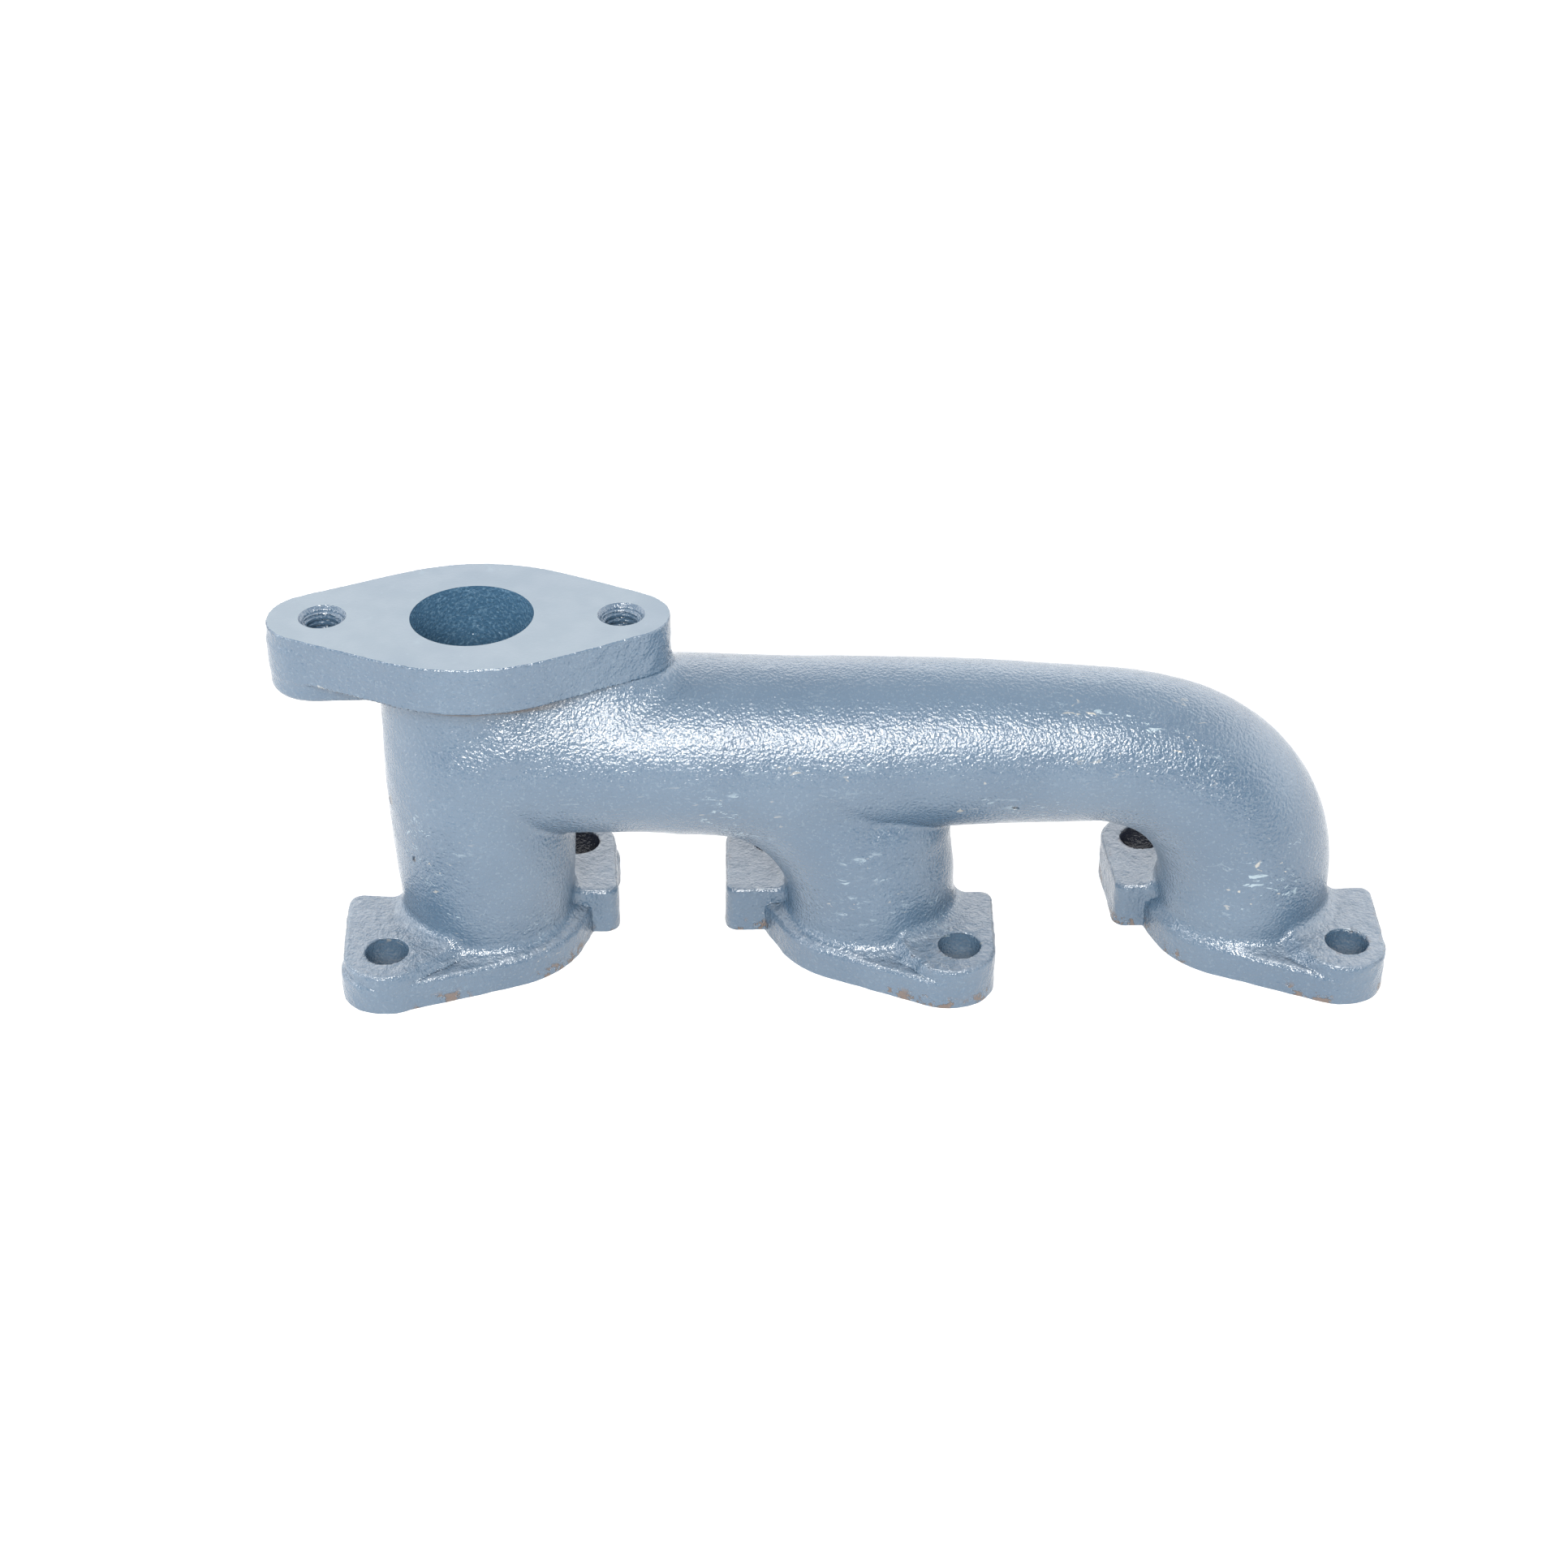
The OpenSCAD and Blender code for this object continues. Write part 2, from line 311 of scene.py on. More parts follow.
def feet(x, y, z):
    """The three webs with their lugs."""
    port = np.where(x < PORT_X[0] / 2, 0, np.where(x < PORT_X[2] / 2, 1, 2))
    out = np.full(len(x), 50, np.float32)
    for n, px in enumerate(PORT_X):
        here = port == n
        if not here.any():
            continue
        u, v, h = x[here] - px, y[here], z[here]
        if n == 0:
            u = -u
        best = np.full(len(u), 50, np.float32)
        chip = ripple(np.stack((u, v, h), 1), CHIPS)
        for side, (uu, vv) in enumerate(((u, v), (-u, -v))):
            web, lug = PLANS[n][side]
            pad = LUG_T + LUG_T_OFF[side] - WEB_T
            at, slant, width = STEP[n][side]
            wander = 0.45 * np.sin(0.55 * vv + 0.35 * uu + n) + 0.2 * np.sin(1.7 * vv + 2 * side)
            past_step = uu - at + slant * (vv + 22) - wander
            top = WEB_T + pad * smooth_step(past_step / width)
            lip = np.exp(-((past_step - 0.6) ** 2) / 1.2 - ((np.hypot(uu, vv) - 22.5) / 2.2) ** 2)
            top = top + LIP[n] * lip
            best = np.minimum(best, round_max(web(uu, vv) + chip, h - WEB_T, 1.3))
            best = np.minimum(best, round_max(lug(uu, vv) + chip, h - top, 1.0))
        out[here] = best
    return out


def bolt_holes(x, y):
    best = np.full(len(x), 50, np.float32)
    for n, px in enumerate(PORT_X):
        u = (px - x) if n == 0 else (x - px)
        for uu, vv in ((u, y), (-u, -y)):
            best = np.minimum(best, np.hypot(uu - BOLT_OFFSET, vv + BOLT_OFFSET) - BOLT_R)
    return best


def outlet_head(x, y, z):
    """The outlet flange with the bosses under its tapped holes."""
    edge = 0.35
    rise = np.clip(z - TOP_Z + edge, 0, edge)
    chip = 0.8 * ripple(np.stack((x, y, z), 1), CHIPS)
    plan = OUTLET_PLAN(x - OUTLET_X, y) + chip + edge - np.sqrt(edge * edge - rise * rise + 1e-9)
    plate = round_max(plan, FLANGE_Z - z, 0.4)
    outer = np.hypot(x - np.clip(x, OUTER_TAP_X - 1.5, OUTLET_X), y) - (OUTER_TIP_R - 1.0)
    outer = round_max(round_max(outer, FLANGE_Z - 4.6 - z, 1.5), z - TOP_Z + 3, 1.0)
    return smooth_min(plate, outer, 0.9)


def tap_holes(x, y, z):
    best = np.full(len(x), 50, np.float32)
    for tx, floor in ((OUTER_TAP_X, 0), (INNER_TAP_X, TOP_Z - 14.5)):
        rho = np.hypot(x - tx, y)
        drill = np.maximum(rho - SLEEVE_R, floor - z + 0.5 * rho)
        chamfer = (rho - CHAMFER_R + (TOP_Z - z)) * math.sqrt(0.5)
        best = np.minimum(best, np.minimum(drill, chamfer))
    return best


def gas_passage(x, y, z, main_axis, branch_axis):
    riser = np.hypot(x - PORT_X[0] - (OUTLET_X - PORT_X[0]) * z / TOP_Z, y) - BORE_R
    port_flare = (BORE_R - PASSAGE_R) * np.clip(1 - z / 12, 0, 1)
    return smooth_min(riser, np.minimum(main_axis, branch_axis) - PASSAGE_R - port_flare, 2.0)


def casting(p):
    """Signed distance of points to the surface of the whole casting."""
    x, y, z = p[:, 0], p[:, 1], p[:, 2]
    main_axis, main_r = main_run(x, y, z)
    branch_axis, branch_r = branch_2(x, y, z)
    sweep = 1.4 + 1.8 * smooth_step((BRANCH_2_X - x) / 18)
    run = smooth_min(main_axis - main_r, branch_axis - branch_r, sweep)
    run = smooth_min(run, stub_2(x, y, z), 1.2)
    narrow = 1 + 0.19 * smooth_step((z - 40) / 32)
    upright = np.maximum(np.hypot(x - RISER_X, y * narrow) - RISER_R(z), z - TOP_Z + 4)
    gusset = np.maximum(GUSSET_PLAN(x - OUTLET_X, y), np.maximum(z - TOP_Z + 4, 50 - z))
    upright = smooth_min(upright, gusset, 0.6)
    near = (z > 56) & (x < -20)
    if near.any():
        upright[near] = smooth_min(upright[near], outlet_head(x[near], y[near], z[near]), 0.3)
    inward = smooth_step((x - RISER_X - 1) / 9) * smooth_step((z - 52) / 6)
    at_tip = smooth_step((x - INNER_TAP_X + 2) / 8)
    outer = smooth_min(run, upright, 1.2 + inward * (5.8 - 2.8 * at_tip))
    low_part = z < 18
    if low_part.any():
        q = p[low_part]
        outer[low_part] = round_min(outer[low_part], feet(q[:, 0], q[:, 1], q[:, 2]), 3.4)
    outer += ripple(p, SWELL) + ripple(p, RIPPLE)
    d = np.maximum(outer, -gas_passage(x, y, z, main_axis, branch_axis))
    if low_part.any():
        d[low_part] = round_max(d[low_part], -bolt_holes(x[low_part], y[low_part]), 0.45)
    if near.any():
        d[near] = np.maximum(d[near], -tap_holes(x[near], y[near], z[near]))
    return d.astype(np.float32)


CHUNK = 120_000


def distance(p):
    parts = np.array_split(p, max(1, len(p) // CHUNK))
    with ThreadPoolExecutor(4) as pool:
        return np.concatenate(list(pool.map(casting, parts)))


def gradient(p, eps=0.12):
    g = np.empty_like(p)
    for axis in range(3):
        step = np.zeros(3, np.float32)
        step[axis] = eps
        g[:, axis] = distance(p + step) - distance(p - step)
    return g / np.maximum(np.linalg.norm(g, axis=1), 1e-9)[:, None]


# ---------- From the distance to a surface ----------

CELL = 0.55
COARSE = 3


def sample_grid():
    """The distance on a grid. It is exact near the surface and rounded off far from it."""
    margin = 4 * CELL
    lo = np.array([v / MM - margin for v in CAD_LO])
    hi = np.array([v / MM + margin for v in CAD_HI])
    lo[0] -= 0.6
    hi[0] += 1.0
    lo[1] -= 0.6
    hi[1] += 0.6
    lo[2] = -2.2 * CELL
    hi[2] = TOP_Z + 2.2 * CELL
    counts = (np.ceil((hi - lo) / CELL / COARSE).astype(int) + 1) * COARSE
    axes = [(lo[a] + CELL * np.arange(counts[a])).astype(np.float32) for a in range(3)]
    rough_axes = [a[COARSE // 2 :: COARSE] for a in axes]
    rough = np.stack(np.meshgrid(*rough_axes, indexing="ij"), -1).reshape(-1, 3)
    values = distance(rough).reshape([len(a) for a in rough_axes])
    for axis in range(3):
        values = np.repeat(values, COARSE, axis)
    near = np.argwhere(np.abs(values) < CELL * (COARSE * 0.9 + 1.2))
    points = np.stack([axes[a][near[:, a]] for a in range(3)], -1)
    values[tuple(near.T)] = distance(points)
    return values, lo.astype(np.float32)


CORNERS = np.array([(i, j, k) for i in (0, 1) for j in (0, 1) for k in (0, 1)])
EDGES = [(a, b) for a in range(8) for b in range(a + 1, 8) if abs(CORNERS[a] - CORNERS[b]).sum() == 1]


def surface_net(values, lo):
    """Quads through the cells that the surface crosses, one vertex in each such cell."""
    inside = values < 0
    n = np.array(values.shape) - 1
    count = np.zeros(n, np.int8)
    for i, j, k in CORNERS:
        count += inside[i : i + n[0], j : j + n[1], k : k + n[2]]
    cells = np.argwhere((count > 0) & (count < 8))
    corner = [values[tuple((cells + c).T)] for c in CORNERS]
    total, crossings = np.zeros((len(cells), 3)), np.zeros(len(cells))
    for a, b in EDGES:
        va, vb = corner[a], corner[b]
        cut = (va < 0) != (vb < 0)
        t = np.where(cut, va / np.where(cut, va - vb, 1), 0)[:, None]
        total += np.where(cut[:, None], CORNERS[a] + t * (CORNERS[b] - CORNERS[a]), 0)
        crossings += cut
    points = (cells + total / crossings[:, None]) * CELL + lo
    index = np.full(n, -1, np.int32)
    index[tuple(cells.T)] = np.arange(len(cells))
    quads = []
    for axis in range(3):
        u, v = (axis + 1) % 3, (axis + 2) % 3
        step = np.zeros(3, int)
        step[axis] = 1
        first = inside[tuple(slice(0, n[a] + (a != axis)) for a in range(3))]
        second = inside[tuple(slice(step[a], None) for a in range(3))]
        at = np.argwhere(first != second)
        at = at[(at[:, u] > 0) & (at[:, v] > 0) & (at[:, u] < n[u]) & (at[:, v] < n[v])]
        du, dv = np.zeros(3, int), np.zeros(3, int)
        du[u], dv[v] = 1, 1
        ring = [index[tuple((at - o).T)] for o in (0 * du, du, du + dv, dv)]
        quad = np.stack(ring, 1)
        flip = ~first[tuple(at.T)]
        quad[flip] = quad[flip][:, ::-1]
        quads.append(quad)
    return points.astype(np.float32), np.concatenate(quads)


def settle(points):
    """Moves each vertex along the surface's normal until it lies on the surface."""
    way = gradient(points)
    for _ in range(3):
        step = np.clip(distance(points), -CELL / 2, CELL / 2)
        points = points - way * step[:, None]
    return points


grid, grid_lo = sample_grid()
net_points, net_quads = surface_net(grid, grid_lo)
net_points = settle(net_points)
print("surface", len(net_points), len(net_quads))

# ---------- Materials ----------


class Graph:
    """Short way to write a node tree."""

    def __init__(self, name):
        self.material = bpy.data.materials.new(name)
        self.material.use_nodes = True
        self.tree = self.material.node_tree
        self.tree.nodes.clear()

    def add(self, kind, inputs=(), **settings):
        node = self.tree.nodes.new(kind)
        for key, value in settings.items():
            setattr(node, key, value)
        for key, value in dict(inputs).items():
            if isinstance(value, bpy.types.NodeSocket):
                self.tree.links.new(value, node.inputs[key])
            else:
                node.inputs[key].default_value = value
        return node

    def math(self, operation, a, b=0.0):
        return self.add("ShaderNodeMath", {0: a, 1: b}, operation=operation).outputs[0]

    def noise(self, scale, detail=2.0, roughness=0.5, distortion=0.0, offset=0.0, stretch=1.0):
        at = self.add("ShaderNodeTexCoord").outputs["Object"]
        if stretch != 1.0:
            longer = {0: at, 1: (1 / stretch, 1.0, 1.0)}
            at = self.add("ShaderNodeVectorMath", longer, operation="MULTIPLY").outputs[0]
        if offset:
            shift = {0: at, 1: (offset, offset, offset)}
            at = self.add("ShaderNodeVectorMath", shift, operation="ADD").outputs[0]
        values = {
            "Vector": at,
            "Scale": scale,
            "Detail": detail,
            "Roughness": roughness,
            "Distortion": distortion,
        }
        return self.add("ShaderNodeTexNoise", values).outputs["Fac"]

    def ramp(self, value, low, high, out_low=0.0, out_high=1.0):
        values = {0: value, 1: low, 2: high, 3: out_low, 4: out_high}
        node = self.add("ShaderNodeMapRange", values, interpolation_type="SMOOTHSTEP")
        return node.outputs[0]

    def mix(self, factor, a, b):
        node = self.add("ShaderNodeMix", data_type="RGBA")
        for key, value in ((0, factor), (6, a), (7, b)):
            if isinstance(value, bpy.types.NodeSocket):
                self.tree.links.new(value, node.inputs[key])
            else:
                node.inputs[key].default_value = value
        return node.outputs[2]

    def mask(self, name):
        return self.add("ShaderNodeAttribute", attribute_name=name).outputs["Fac"]

    def bump(self, height, distance, normal=None):
        values = {"Height": height, "Distance": distance, "Strength": 1.0}
        if normal is not None:
            values["Normal"] = normal
        return self.add("ShaderNodeBump", values).outputs["Normal"]

    def finish(self, values):
        shader = self.add("ShaderNodeBsdfPrincipled", values)
        self.add("ShaderNodeOutputMaterial", {"Surface": shader.outputs[0]})
        return self.material


PAINT = (0.043, 0.082, 0.133, 1)
PAINT_LIGHT = (0.055, 0.097, 0.150, 1)
PAINT_GREY = (0.118, 0.155, 0.204, 1)
SCUFF = (0.21, 0.28, 0.33, 1)
CHALK = (0.38, 0.36, 0.31, 1)
RUST = (0.085, 0.060, 0.050, 1)
# Painted shade under the outlet flange's edge
CREASE_SHADE = (0.030, 0.024, 0.026, 1)
# Near-black painted shade inside the blow holes and the back bolt holes
SHADE_BLACK = (0.02, 0.025, 0.04, 1)


def cast_paint():
    g = Graph("casting_paint")
    tone = g.noise(38, 3)
    colour = g.mix(g.ramp(tone, 0.35, 0.65), PAINT, PAINT_LIGHT)
    lug = g.math("MULTIPLY", g.mask("lug_top"), g.ramp(g.noise(420, 3, 0.6), 0.35, 0.6, 0.35, 1.0))
    colour = g.mix(lug, colour, PAINT_GREY)
    speck = g.ramp(g.noise(1500, 1, 0.5, offset=3.0), 0.60, 0.68)
    colour = g.mix(g.math("MULTIPLY", speck, 0.12), colour, SCUFF)
    # Scuffs: thin broken strokes, close together in a few places
    broken = g.ramp(g.noise(760, 3, 0.65, 0.8, 1.0, 2.6), 0.56, 0.64)
    patch = g.ramp(g.noise(150, 2, 0.5, 0.4, 5.0, 2.0), 0.52, 0.60)
    scuff = g.math("MULTIPLY", g.math("MULTIPLY", broken, patch), g.mask("scuff"))
    colour = g.mix(scuff, colour, SCUFF)
    chalk = g.math("MULTIPLY", g.ramp(g.noise(520, 2, 0.6, 0.5, 9.0, 2.0), 0.68, 0.74), g.mask("scuff"))
    colour = g.mix(g.math("MULTIPLY", chalk, 0.8), colour, CHALK)
    rust = g.math("MULTIPLY", g.ramp(g.noise(330, 4, 0.7, offset=2.0), 0.52, 0.58), g.mask("rust"))
    rust = g.math("MULTIPLY", rust, g.ramp(g.noise(55, 1, 0.5, offset=6.0), 0.50, 0.56))
    colour = g.mix(rust, colour, RUST)
    bore = g.mask("bore")
    pits = g.ramp(g.noise(1500, 2, 0.6, offset=4.0), 0.45, 0.75)
    dark = g.mix(pits, (0.038, 0.092, 0.158, 1), (0.100, 0.185, 0.270, 1))
    colour = g.mix(bore, colour, dark)
    # Painted shade: the blow holes coloured near-black; their dent is only in the bump
    colour = g.mix(g.mask("shaded_pit"), colour, SHADE_BLACK)
    # Painted shade: a dark line under the outlet flange's edge, where the flange overhangs the riser
    colour = g.mix(g.mask("flange_crease_shade"), colour, CREASE_SHADE)
    # Painted shade: the back bolt holes, in the log's shadow, coloured near-black
    colour = g.mix(g.mask("hole"), colour, SHADE_BLACK)
    grain = g.noise(1500, 2, 0.5)
    lumps = g.noise(330, 2, 0.5, offset=7.0)
    coarse = g.math("MULTIPLY", g.mask("lug_top"), g.noise(700, 3, 0.6, offset=6.0))
    height = g.math("ADD", grain, g.math("MULTIPLY", lumps, 0.25))
    height = g.math("ADD", height, g.math("MULTIPLY", coarse, 1.6))
    height = g.math("SUBTRACT", height, g.math("MULTIPLY", rust, 0.6))
    height = g.math("SUBTRACT", height, g.math("MULTIPLY", g.mask("shaded_pit"), 3.0))
    normal = g.bump(height, 0.00030)
    rough = g.ramp(g.noise(210, 3, 0.6, offset=8.0), 0.35, 0.65, 0.14, 0.20)
    rough = g.math("ADD", rough, g.math("MULTIPLY", g.mask("lug_top"), 0.16))
    rough = g.math("ADD", rough, g.math("MULTIPLY", g.mask("flange_crease_shade"), 0.3))
    rough = g.math("ADD", rough, g.math("MULTIPLY", g.math("MAXIMUM", scuff, rust), 0.25))
    return g.finish(
        {
            "Base Color": colour,
            "Roughness": rough,
            "Normal": normal,
            "IOR": 1.55,
            "Specular IOR Level": 1.0,
        }
    )


def machined_paint():
    g = Graph("machined_paint")
    tone = g.noise(30, 3)
    colour = g.mix(g.ramp(tone, 0.35, 0.65), (0.140, 0.182, 0.228, 1), (0.156, 0.198, 0.240, 1))
    scuff = g.ramp(g.noise(240, 4, 0.7, 0.5, offset=1.0), 0.62, 0.72)
    colour = g.mix(g.math("MULTIPLY", scuff, 0.2), colour, SCUFF)
    normal = g.bump(g.noise(1400, 2), 0.00003)
    rough = g.ramp(g.noise(160, 3, offset=2.0), 0.35, 0.65, 0.36, 0.46)
    return g.finish({"Base Color": colour, "Roughness": rough, "Normal": normal, "IOR": 1.5})


CAST = cast_paint()
MACHINED = machined_paint()

# ---------- Pieces ----------

FAR = 500.0
SEAM_1, SEAM_2, SEAM_3 = high("log_front", 0) - 6.0, high("log_middle", 0), ELBOW_X
HEAD_Z = low("outlet_flange", 2) + 5.5
UNDER_Z = high("branch_2_bend", 2)
FOOT_Z = 12.0
RISER_SEAM = high("riser_upper", 0)
HALF = PORT_X[2] / 2

# name, CAD nodes that it stands for, material slot, low corner, high corner
PIECES = [
    ("outlet_flange_cast", ["outlet_flange"], "machined_paint",
     (-FAR, -FAR, HEAD_Z), (SEAM_1, FAR, TOP_Z)),
    ("riser_upper_cast", ["riser_upper"], "casting_paint",
     (-FAR, -FAR, UNDER_Z), (RISER_SEAM, FAR, HEAD_Z)),
    ("riser_lower_cast", ["riser_lower"], "casting_paint",
     (-FAR, -FAR, FOOT_Z), (RISER_SEAM, FAR, UNDER_Z)),
    ("log_front_cast", ["log_front"], "casting_paint",
     (RISER_SEAM, -FAR, FOOT_Z), (SEAM_1, FAR, HEAD_Z)),
    ("log_middle_cast", ["log_middle"], "casting_paint",
     (SEAM_1, -FAR, UNDER_Z), (SEAM_2, FAR, TOP_Z)),
    ("branch_2_cast", ["branch_2_bend", "branch_2_foot"], "casting_paint",
     (SEAM_1, -FAR, FOOT_Z), (SEAM_2, FAR, UNDER_Z)),
    ("log_rear_cast", ["log_rear"], "casting_paint",
     (SEAM_2, -FAR, FOOT_Z), (SEAM_3, FAR, TOP_Z)),
    ("end_elbow_cast", ["end_elbow", "branch_3_foot"], "casting_paint",
     (SEAM_3, -FAR, FOOT_Z), (FAR, FAR, TOP_Z)),
    ("port_flange_1_cast", ["port_flange_1", "lug_1_front", "lug_1_back"], "lug_paint",
     (-FAR, -FAR, 0), (-HALF, FAR, FOOT_Z)),
    ("port_flange_2_cast", ["port_flange_2", "lug_2_front", "lug_2_back"], "lug_paint",
     (-HALF, -FAR, 0), (HALF, FAR, FOOT_Z)),
    ("port_flange_3_cast", ["port_flange_3", "lug_3_front", "lug_3_back"], "lug_paint",
     (HALF, -FAR, 0), (FAR, FAR, FOOT_Z)),
]

# Places of the scuffs: X, Y, Z and radius
SCUFFS = [
    (-95, -17, 36, 8), (-56, -20, 48, 7), (-30, -19, 42, 10), (-2, -18, 24, 9),
    (50, -10, 62, 10), (66, -12, 57, 8), (84, -19, 22, 8), (90, -17, 27, 7),
    (-93, -18, 18, 7), (14, -14, 12, 6), (20, -19, 47, 7), (-72, -21, 8, 8),
    (-60, -16, 62, 6), (36, -17, 40, 6), (108, -6, 30, 6), (-10, -17, 58, 8),
]

# Blow holes in the casting: X, Y, Z and radius
PITS = [(-103.0, -7.7, 41, 0.8), (-98.2, -14.5, 30, 0.4), (31, -16.6, 43, 0.4)]


def masks(p, normal):
    """Where the paint is worn, rusty, coarser or inside the bore, and where shade is painted dark: under the outlet
    flange's edge, in the back bolt holes and in the blow holes; from 0 to 1 per vertex.
    """
    x, y, z = p.T
    main_axis, _ = main_run(x, y, z)
    branch_axis, _ = branch_2(x, y, z)
    bore = (np.abs(gas_passage(x, y, z, main_axis, branch_axis)) < 0.2).astype(float)
    inner = distance(p - normal * 1.5) + 1.5
    edge = smooth_step((inner - 0.25) / 0.6)
    lug_top = smooth_step((normal[:, 2] - 0.6) / 0.3) * (z < LUG_T + 1.5)
    rust = smooth_step((3.6 - z) / 2.0) + 0.4 * edge * (z < LUG_T + 1)
    scuff = np.zeros(len(p))
    for sx, sy, sz, r in SCUFFS:
        scuff += np.exp(-((p - (sx, sy, sz)) ** 2).sum(1) / (r * r))
    scuff = np.clip(scuff, 0, 1) + 0.45 * edge
    # Painted shade: the recess under the outlet flange's front edge, found by how deep the surface lies behind the
    # casting, is coloured dark
    hollow = smooth_step((4.2 - distance(p + normal * 4.2)) / 1.0)
    under = smooth_step((z - FLANGE_Z + 4.3) / 0.6) * (z < FLANGE_Z + 0.6)
    flange_crease_shade = hollow * under * smooth_step((OUTLET_X + 24 - x) / 16) * smooth_step((x - OUTLET_X + 21) / 4)
    # Painted shade: the back bolt holes, which lie in the log's shadow, are coloured near-black
    hole = (bolt_holes(x, y) < 0.2) * (y > 0) * (z < LUG_T + 1)
    # Painted shade: near-black colour inside each blow hole, which is also dented in the bump
    shaded_pit = np.zeros(len(p))
    for px, py, pz, r in PITS:
        shaded_pit = np.maximum(shaded_pit, smooth_step(1.6 - np.sqrt(((p - (px, py, pz)) ** 2).sum(1)) / r))
    return {"bore": bore, "lug_top": lug_top, "rust": rust, "scuff": np.clip(scuff, 0, 1), "shaded_pit": shaded_pit, "flange_crease_shade": flange_crease_shade, "hole": hole}


def cut(bm, layer, axis, at, keep_above, mark):
    """Cuts a mesh with a plane across an axis, and closes it with a flat cap."""
    normal = [0.0, 0.0, 0.0]
    normal[axis] = -1.0 if keep_above else 1.0
    point = [0.0, 0.0, 0.0]
    point[axis] = at
    geometry = bm.verts[:] + bm.edges[:] + bm.faces[:]
    made = bmesh.ops.bisect_plane(
        bm, geom=geometry, dist=1e-4, plane_co=point, plane_no=normal, clear_outer=True
    )
    rim = [e for e in made["geom_cut"] if isinstance(e, bmesh.types.BMEdge) and e.is_boundary]
    if rim:
        filled = bmesh.ops.triangle_fill(bm, use_beauty=True, edges=rim, normal=normal)
        for face in filled["geom"]:
            if isinstance(face, bmesh.types.BMFace):
                face[layer] = mark
                face.normal_update()
                if face.normal[axis] * normal[axis] < 0:
                    face.normal_flip()


def make_piece(name, nodes, slot, lo, hi):
    # Trimmed and cut across Z first: a level section is always closed, so every cap keeps its hole
    reach = 2 * CELL
    inside = (net_points[:, 2] > lo[2] - reach) & (net_points[:, 2] < hi[2] + reach)
    quads = net_quads[inside[net_quads].all(1)]
    used = np.unique(quads)
    remap = np.full(len(net_points), -1, np.int64)
    remap[used] = np.arange(len(used))
    mesh = bpy.data.meshes.new(name)
    mesh.from_pydata(net_points[used].tolist(), [], remap[quads].tolist())
    bm = bmesh.new()
    bm.from_mesh(mesh)
    layer = bm.faces.layers.int.new("cap")
    for axis in (2, 1, 0):
        if hi[axis] < FAR:
            cut(bm, layer, axis, hi[axis], False, 2 * axis + 2)
        if lo[axis] > -FAR:
            cut(bm, layer, axis, lo[axis], True, 2 * axis + 1)
    bm.to_mesh(mesh)
    bm.free()
    count = len(mesh.vertices)
    co = np.empty(count * 3, np.float32)
    mesh.vertices.foreach_get("co", co)
    co = co.reshape(-1, 3)
    probe = co.copy()
    probe[:, 2] = np.clip(probe[:, 2], 0.0, TOP_Z - 0.13)
    smooth = gradient(probe)
    for key, value in masks(co, smooth).items():
        mesh.attributes.new(key, "FLOAT", "POINT").data.foreach_set("value", value.astype(np.float32))
    caps = np.empty(len(mesh.polygons), np.int32)
    mesh.attributes["cap"].data.foreach_get("value", caps)
    mesh.attributes.remove(mesh.attributes["cap"])
    totals = np.empty(len(mesh.polygons), np.int32)
    mesh.polygons.foreach_get("loop_total", totals)
    corners = np.empty(len(mesh.loops), np.int32)
    mesh.loops.foreach_get("vertex_index", corners)
    loop_cap = np.repeat(caps, totals)
    normals = smooth[corners]
    for mark in range(1, 7):
        axis, sign = (mark - 1) // 2, -1.0 if mark % 2 else 1.0
        flat = np.zeros(3)
        flat[axis] = sign
        normals[loop_cap == mark] = flat
    machined = (caps == 6) & (hi[2] == TOP_Z) | (caps == 5) & (lo[2] == 0)
    mesh.materials.append(CAST)
    mesh.materials.append(MACHINED)
    mesh.polygons.foreach_set("material_index", machined.astype(np.int32))
    mesh.vertices.foreach_set("co", (co * MM).ravel())
    mesh.polygons.foreach_set("use_smooth", np.ones(len(caps), bool))
    mesh.update()
    mesh.normals_split_custom_set(normals.tolist())
    ob = bpy.data.objects.new(name, mesh)
    bpy.context.scene.collection.objects.link(ob)
    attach(ob, "root")
    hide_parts(*nodes)
    return ob


for row in PIECES:
    made = make_piece(*row)
    print(made.name, len(made.data.polygons))

# ---------- M8 threads in the outlet flange ----------

PITCH = 1.25
MINOR_R = 3.4


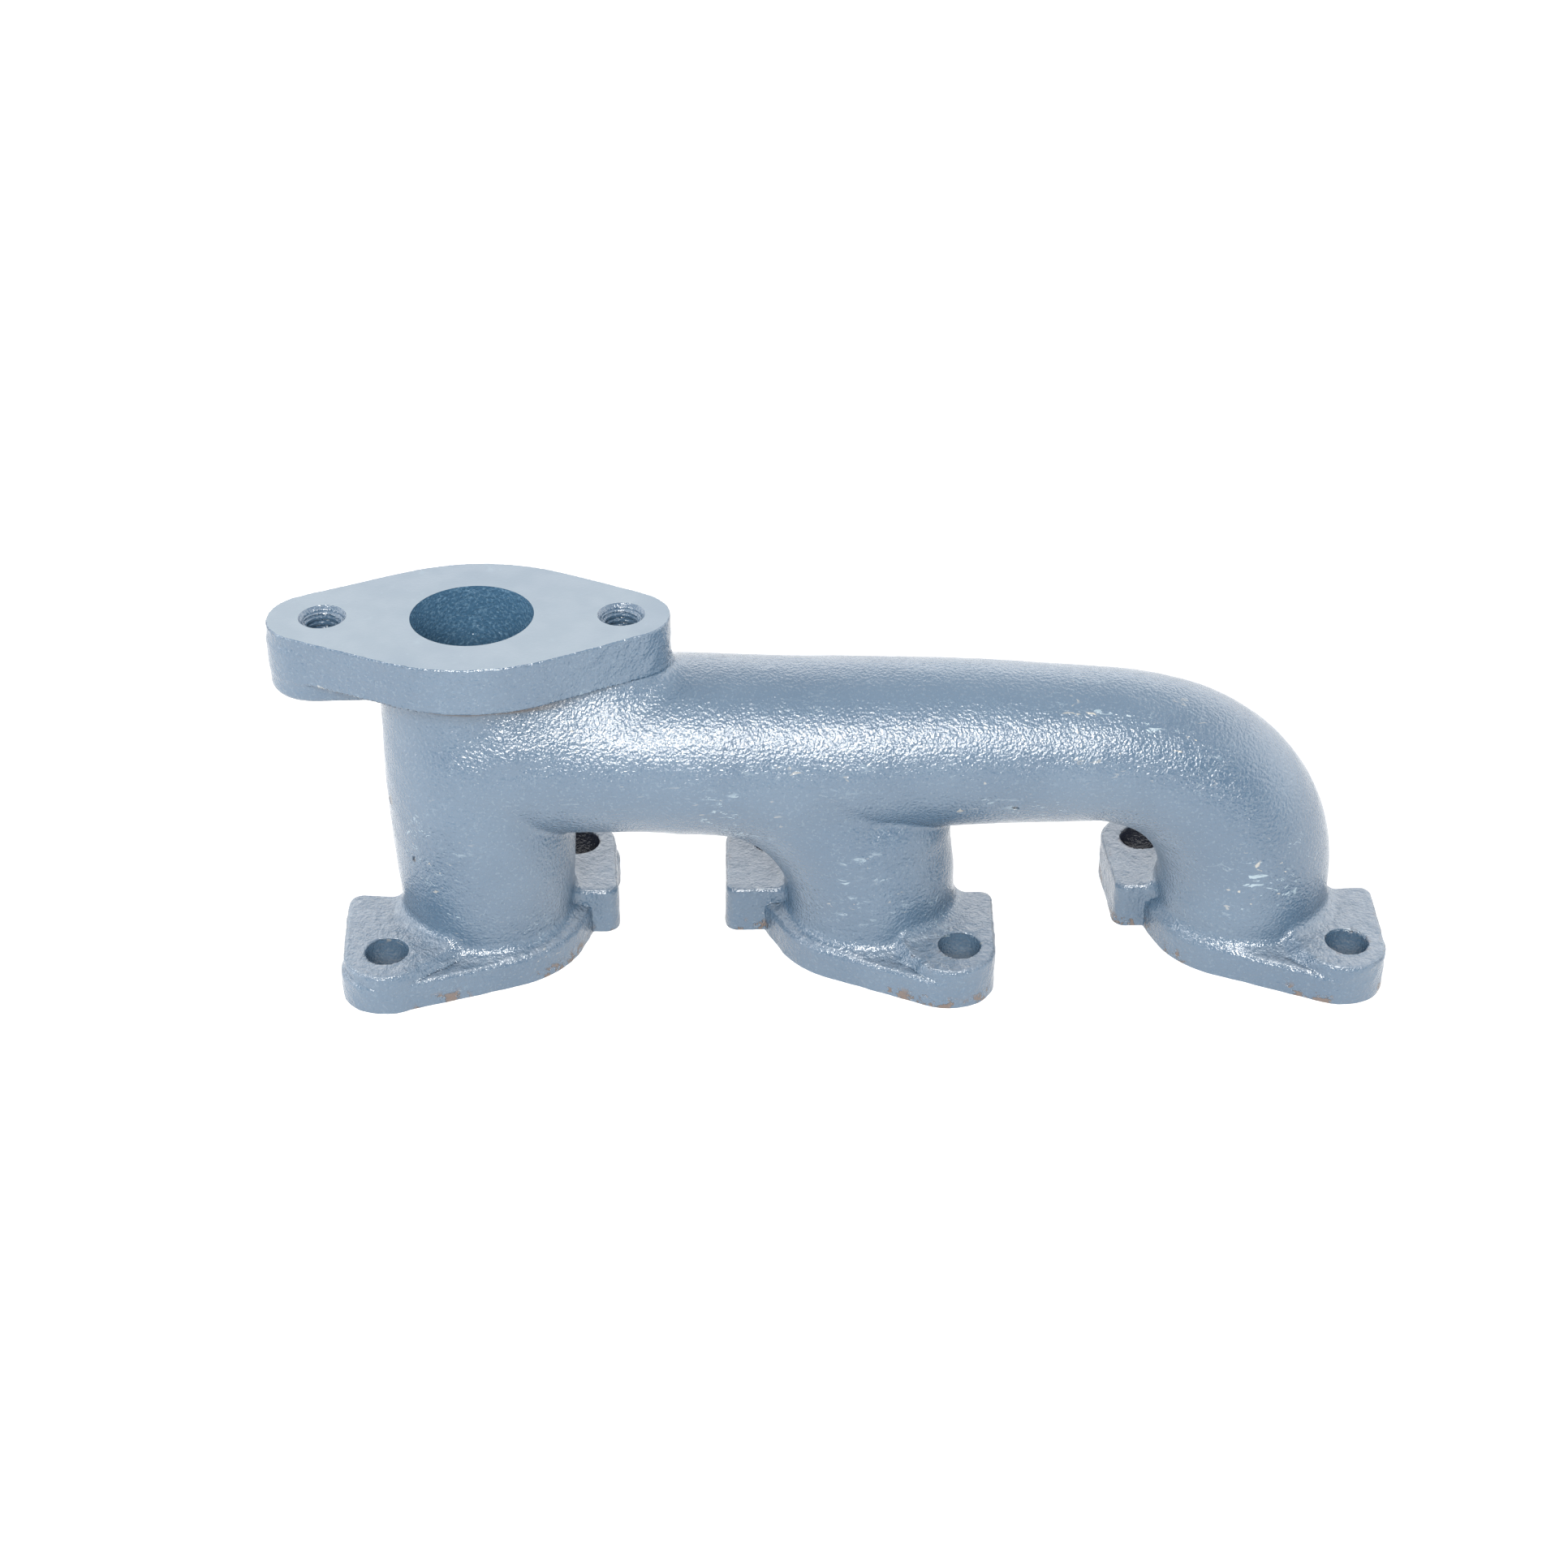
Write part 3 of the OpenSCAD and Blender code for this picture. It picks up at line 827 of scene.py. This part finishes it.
def thread_sleeve(name, tap_x, bottom_z):
    """The threaded wall of a tapped hole, as a closed ring with a helix inside."""
    around, per_turn = 64, 10
    top_z = TOP_Z - (CHAMFER_R - THREAD_R) + 0.05
    rows = int((top_z - bottom_z) / PITCH * per_turn)
    zs = np.linspace(bottom_z, top_z, rows)
    bm = bmesh.new()
    inner, outer = [], []
    for z in zs:
        ring = []
        for k in range(around):
            a = 2 * math.pi * k / around
            turn = (z / PITCH - k / around) % 1.0
            depth = min(1.0, max(0.0, 2.1 - abs(turn - 0.5) * 4.5))
            fade = min(1.0, (top_z - z) / (0.5 * PITCH))
            r = THREAD_R - (THREAD_R - MINOR_R) * depth * fade
            ring.append(bm.verts.new(((tap_x + r * math.cos(a)) * MM, r * math.sin(a) * MM, z * MM)))
        inner.append(ring)
    for z in (zs[0], zs[-1]):
        r = SLEEVE_R + 0.12
        outer.append([
            bm.verts.new((
                (tap_x + r * math.cos(2 * math.pi * k / around)) * MM,
                r * math.sin(2 * math.pi * k / around) * MM, z * MM))
            for k in range(around)])
    loops = inner + outer[::-1] + inner[:1]
    for a, b in zip(loops, loops[1:]):
        for k in range(around):
            m = (k + 1) % around
            bm.faces.new((a[m], a[k], b[k], b[m]))
    bmesh.ops.recalc_face_normals(bm, faces=bm.faces[:])
    mesh = bpy.data.meshes.new(name)
    bm.to_mesh(mesh)
    bm.free()
    mesh.polygons.foreach_set("use_smooth", np.ones(len(mesh.polygons), bool))
    mesh.set_sharp_from_angle(angle=math.radians(50))
    mesh.materials.append(CAST)
    ob = bpy.data.objects.new(name, mesh)
    bpy.context.scene.collection.objects.link(ob)
    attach(ob, "root")
    return ob


thread_sleeve("outer_tap_thread", OUTER_TAP_X, FLANGE_Z - 2.5)
thread_sleeve("inner_tap_thread", INNER_TAP_X, TOP_Z - 11.5)

# ---------- Floor, light and camera ----------

centre = (CAD_LO + CAD_HI) / 2


def floor():
    bm = bmesh.new()
    half, rings = 6.0, 12
    bmesh.ops.create_grid(bm, x_segments=rings, y_segments=rings, size=half)
    mesh = bpy.data.meshes.new("floor")
    bm.to_mesh(mesh)
    bm.free()
    ob = bpy.data.objects.new("floor", mesh)
    ob.location = (centre.x, centre.y, CAD_LO.z - 0.0001)
    bpy.context.scene.collection.objects.link(ob)
    g = Graph("floor")
    diffuse = g.add("ShaderNodeBsdfDiffuse", {"Color": (0.48, 0.48, 0.48, 1)})
    glow = g.add("ShaderNodeEmission", {"Color": (1, 1, 1, 1), "Strength": 0.66})
    both = g.add("ShaderNodeAddShader", {0: diffuse.outputs[0], 1: glow.outputs[0]})
    g.add("ShaderNodeOutputMaterial", {"Surface": both.outputs[0]})
    mesh.materials.append(g.material)


floor()

PITCH_DOWN, YAW = math.radians(32.74), math.radians(0.98)
forward = Vector((
    math.sin(YAW) * math.cos(PITCH_DOWN),
    math.cos(YAW) * math.cos(PITCH_DOWN),
    -math.sin(PITCH_DOWN),
))
target = centre + Vector((-0.0121, -0.0007, -0.0013))
camera_data = bpy.data.cameras.new("camera")
camera_data.lens = 58.73
camera_data.sensor_width = 36
camera = bpy.data.objects.new("camera", camera_data)
camera.location = target - forward * 0.5594
camera.rotation_mode = "QUATERNION"
camera.rotation_quaternion = forward.to_track_quat("-Z", "Y")
bpy.context.scene.collection.objects.link(camera)
bpy.context.scene.camera = camera


def area_light(name, place, aim, size_x, size_y, power, colour=(1, 1, 1)):
    data = bpy.data.lights.new(name, "AREA")
    data.shape = "RECTANGLE"
    data.size, data.size_y = size_x, size_y
    data.energy = power
    data.color = colour
    ob = bpy.data.objects.new(name, data)
    ob.location = place
    ob.rotation_mode = "QUATERNION"
    ob.rotation_quaternion = (Vector(aim) - Vector(place)).to_track_quat("-Z", "Y")
    bpy.context.scene.collection.objects.link(ob)
    return ob


area_light("key", target + Vector((-0.10, -0.97, 0.70)), target, 0.80, 0.50, 24.0, (1.0, 0.97, 0.93))
area_light("rim", target + Vector((-1.1, -0.25, 0.30)), target, 0.25, 0.50, 2.5)

world = bpy.data.worlds.new("studio")
world.use_nodes = True
bpy.context.scene.world = world
tree = world.node_tree
tree.nodes.clear()


def world_node(kind, *links):
    node = tree.nodes.new(kind)
    for source, to in links:
        if isinstance(source, bpy.types.NodeSocket):
            tree.links.new(source, node.inputs[to])
        else:
            node.inputs[to].default_value = source
    return node


def world_ramp(value, low_at, high_at, from_value, to_value):
    links = ((value, 0), (low_at, 1), (high_at, 2), (from_value, 3), (to_value, 4))
    node = world_node("ShaderNodeMapRange", *links)
    node.interpolation_type = "SMOOTHSTEP"
    return node.outputs[0]


# A white backdrop low down behind the part, a softer ceiling and a dim room in front
where = world_node("ShaderNodeTexCoord")
split = world_node("ShaderNodeSeparateXYZ", (where.outputs["Generated"], 0))
room = world_ramp(split.outputs["Y"], -0.75, -0.1, 0.30, 2.5)
up = world_ramp(split.outputs["Z"], 0.61, 0.64, 0.0, 1.0)
mixed = world_node("ShaderNodeMix", (up, 0), (room, 2), (1.1, 3))
back = world_node("ShaderNodeBackground", ((1, 1, 1, 1), 0), (mixed.outputs[0], 1))
world_node("ShaderNodeOutputWorld", (back.outputs[0], 0))

bpy.context.scene.view_settings.view_transform = "Standard"
